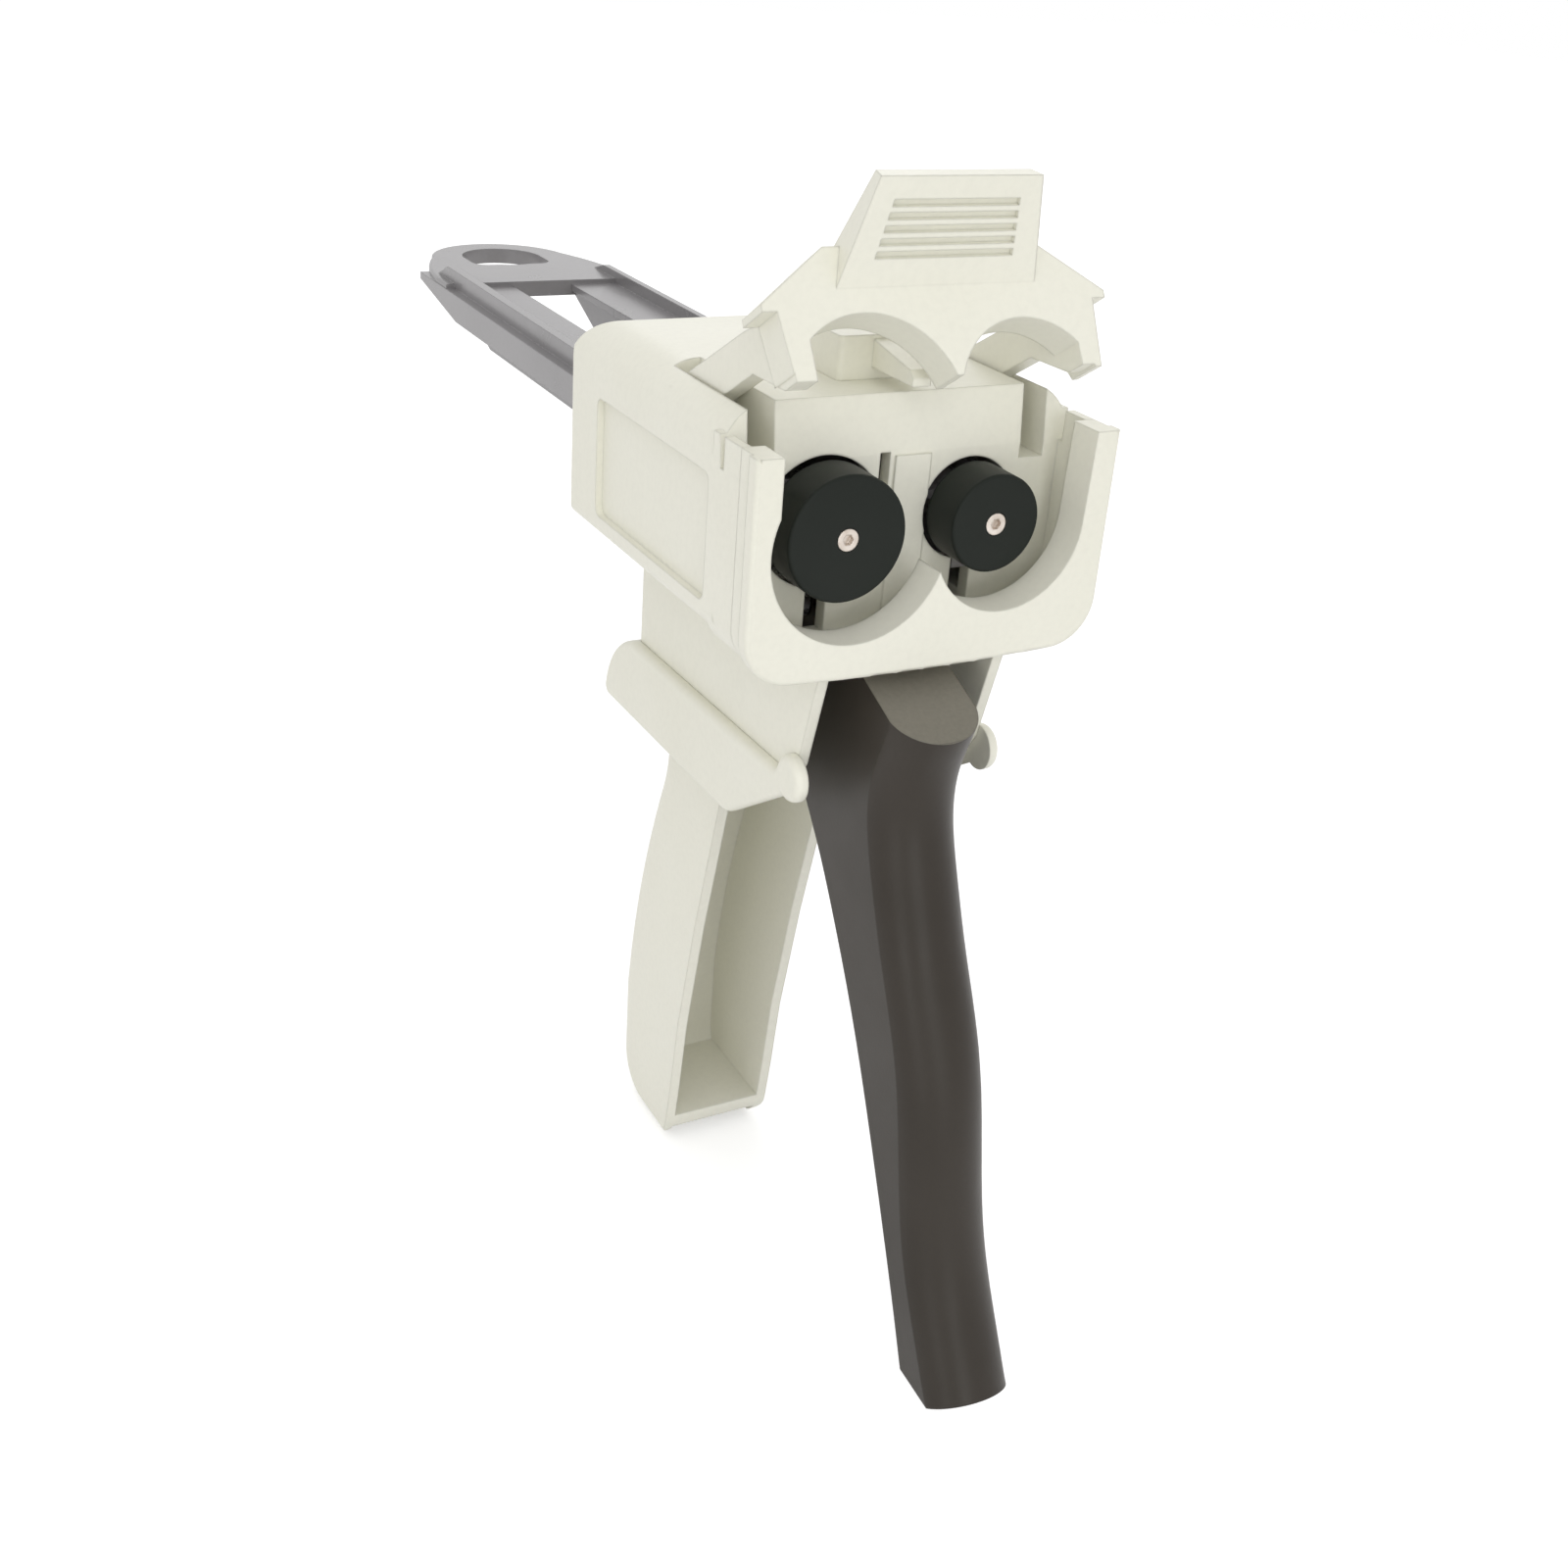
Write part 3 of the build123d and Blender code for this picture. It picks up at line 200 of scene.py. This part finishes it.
# Materials
def moulded_plastic(name, dark, light, rough, grain, grain_depth, sheen, edge):
    """Moulded plastic: slow tone drift, fine specks, a fine grain, and scuffed roughness."""
    material, tree, shader = new_material(name)
    drift = ramp(tree, noise(tree, 22.0, 3.0), (0.35, dark), (0.65, light))
    speck = ramp(tree, noise(tree, 900.0, 2.0), (0.30, grey(0.975)), (0.60, grey(1.0)))
    tree.links.new(mix_colour(tree, drift, speck, "MULTIPLY"), shader.inputs["Base Color"])
    gloss = ramp(tree, noise(tree, 60.0, 5.0), (0.3, grey(rough - 0.04)), (0.7, grey(rough + 0.05)))
    tree.links.new(gloss, shader.inputs["Roughness"])
    bump(tree, shader, [
        (noise(tree, grain, 2.0), grain_depth, 0.25),
        (noise(tree, 45.0, 2.0), 0.00004, 0.15),
    ], edge)
    shader.inputs["IOR"].default_value = 1.5
    shader.inputs["Specular IOR Level"].default_value = sheen
    return material


def paint_facet_light(material):
    """Painted light on the cut facet: a paler tone standing in for the light its upward face catches, above
    its plane and in front of its rear end.
    """
    tree = material.node_tree
    place = object_coords(tree)
    along = tree.nodes.new("ShaderNodeVectorMath")
    along.operation = "DOT_PRODUCT"
    along.inputs[1].default_value = facet_normal
    tree.links.new(place, along.inputs[0])
    above = tree.nodes.new("ShaderNodeMapRange")
    above.inputs["From Min"].default_value = facet_distance - facet_fade_start
    above.inputs["From Max"].default_value = facet_distance - facet_fade_end
    tree.links.new(along.outputs["Value"], above.inputs["Value"])
    split = tree.nodes.new("ShaderNodeSeparateXYZ")
    tree.links.new(place, split.inputs[0])
    front = combine(tree, "LESS_THAN", split.outputs["Y"], facet_rear)
    mask = combine(tree, "MULTIPLY", above.outputs["Result"], front)
    shader = tree.nodes["Principled BSDF"]
    body = shader.inputs["Base Color"].links[0].from_socket
    dark = tuple(facet_dark_share * c for c in facet_painted_light_colour)
    # Painted light: the facet's paler tone with fine specks, mixed over the body colour by the mask
    cut = ramp(tree, noise(tree, 1400.0, 3.0), (0.3, dark), (0.7, facet_painted_light_colour))
    tree.links.new(mix_colour(tree, body, cut, "MIX", mask), shader.inputs["Base Color"])


def steel(name, dark, light, rough):
    """Drawn or turned steel: fine streaks in tone, gloss and height."""
    material, tree, shader = new_material(name)
    streaks = noise(tree, 500.0, 3.0, 0.6, (1.0, 0.08, 1.0))
    tint = ramp(tree, streaks, (0.3, dark), (0.7, light))
    tree.links.new(tint, shader.inputs["Base Color"])
    gloss = ramp(tree, noise(tree, 700.0), (0.3, grey(rough - 0.08)), (0.7, grey(rough + 0.1)))
    tree.links.new(gloss, shader.inputs["Roughness"])
    bump(tree, shader, [(streaks, 0.00002, 0.3)])
    shader.inputs["Metallic"].default_value = 1.0
    return material


ivory = moulded_plastic(
    "ivory_plastic", dark=(0.80, 0.79, 0.685), light=(0.82, 0.81, 0.71),
    rough=0.42, grain=2600.0, grain_depth=0.00002, sheen=0.45, edge=0.0005)
brown = moulded_plastic(
    "trigger_plastic", dark=(0.031, 0.025, 0.019), light=(0.041, 0.034, 0.027),
    rough=0.40, grain=2200.0, grain_depth=0.00003, sheen=0.26, edge=0.0005)
black = moulded_plastic(
    "piston_plastic", dark=(0.011, 0.014, 0.011), light=(0.016, 0.019, 0.016),
    rough=0.45, grain=2400.0, grain_depth=0.00003, sheen=0.15, edge=0.0003)
slate = moulded_plastic(
    "rack_plastic", dark=(0.230, 0.222, 0.225), light=(0.250, 0.241, 0.244),
    rough=0.24, grain=1800.0, grain_depth=0.000006, sheen=0.55, edge=0.0003)
# Painted light on the trigger's upward-facing cut facet
paint_facet_light(brown)
screw = steel("screw_steel", dark=(0.55, 0.48, 0.42), light=(0.72, 0.66, 0.60), rough=0.30)
pin = steel("pin_steel", dark=(0.50, 0.50, 0.50), light=(0.66, 0.66, 0.66), rough=0.28)

finishes = {
    "ivory_plastic": ivory,
    "trigger_plastic": brown,
    "piston_plastic": black,
    "rack_plastic": slate,
    "screw_steel": screw,
    "pin_steel": pin,
    "spring_steel": pin,
}
for part in frame["record"]["subparts"]:
    obj = nodes[part["node"]]
    obj.data.materials.clear()
    obj.data.materials.append(finishes[part["material_slot"]])


# The release lever's spring, as its own copy of the mesh attached to the frame
def pressed_spring():
    coil = bpy.data.objects.new("release_spring_coil", nodes["release_spring"].data.copy())
    scene.collection.objects.link(coil)
    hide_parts("release_spring")
    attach(coil, "frame")
    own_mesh(coil)


# Studio
def background_rays(tree):
    """One for rays that show the background: seen directly, mirrored, or seen through glass."""
    path = tree.nodes.new("ShaderNodeLightPath")
    shown = path.outputs["Is Camera Ray"]
    for name in ("Is Glossy Ray", "Is Transmission Ray"):
        shown = combine(tree, "MAXIMUM", shown, path.outputs[name])
    return shown


def floor_material():
    """A matt sheet that keeps the shadow and is lifted to white where the background shows."""
    material, tree, shader = new_material("studio_floor")
    shader.inputs["Base Color"].default_value = (*grey(floor_tone), 1)
    shader.inputs["Roughness"].default_value = 0.9
    shader.inputs["Specular IOR Level"].default_value = 0.0
    glow = tree.nodes.new("ShaderNodeEmission")
    lift = combine(tree, "MULTIPLY", background_rays(tree), floor_lift)
    tree.links.new(lift, glow.inputs["Strength"])
    add = tree.nodes.new("ShaderNodeAddShader")
    tree.links.new(shader.outputs[0], add.inputs[0])
    tree.links.new(glow.outputs[0], add.inputs[1])
    tree.links.new(add.outputs[0], tree.nodes["Material Output"].inputs["Surface"])
    return material


def lay_floor():
    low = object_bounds()[0][2] - floor_gap
    corners = [(x * floor_half, y * floor_half, low) for x, y in ((-1, -1), (1, -1), (1, 1), (-1, 1))]
    mesh = bpy.data.meshes.new("floor")
    mesh.from_pydata(corners, [], [(0, 1, 2, 3)])
    floor = bpy.data.objects.new("floor", mesh)
    floor.data.materials.append(floor_material())
    scene.collection.objects.link(floor)


def light_world():
    """A soft all-round light on the object, and plain white where the background shows."""
    world = bpy.data.worlds.new("world")
    scene.world = world
    world.use_nodes = True
    tree = world.node_tree
    back = tree.nodes["Background"]
    back.inputs["Color"].default_value = (*world_tint, 1)
    back.inputs["Strength"].default_value = world_strength
    white = tree.nodes.new("ShaderNodeBackground")
    white.inputs["Color"].default_value = (1.0, 1.0, 1.0, 1)
    white.inputs["Strength"].default_value = 1.0
    pick = tree.nodes.new("ShaderNodeMixShader")
    tree.links.new(background_rays(tree), pick.inputs[0])
    tree.links.new(back.outputs[0], pick.inputs[1])
    tree.links.new(white.outputs[0], pick.inputs[2])
    tree.links.new(pick.outputs[0], tree.nodes["World Output"].inputs["Surface"])


def lamp(name, place, target, size, watts, tint=(1, 1, 1)):
    data = bpy.data.lights.new(name, "AREA")
    data.shape = "DISK"
    data.size = size
    data.energy = watts
    data.color = tint
    obj = bpy.data.objects.new(name, data)
    obj.location = place
    aim = Vector(target) - Vector(place)
    obj.rotation_euler = aim.to_track_quat("-Z", "Y").to_euler()
    scene.collection.objects.link(obj)


pressed_spring()
place_camera()
lay_floor()
light_world()
lamp("key", (-0.35, -0.95, 0.85), (0, 0.04, -0.03), size=0.8, watts=2.2, tint=(0.98, 0.99, 1.0))
lamp("front_low", (-0.10, -0.90, 0.08), (0, -0.02, -0.08), size=0.3, watts=0.7)
lamp("left_low", (-0.60, -0.50, -0.01), (0, 0.05, -0.10), size=0.2, watts=0.4)
lamp("back_sheen", (0.55, 1.15, 0.85), (0, 0.08, 0), size=0.9, watts=2.4)

scene.view_settings.view_transform = "Standard"
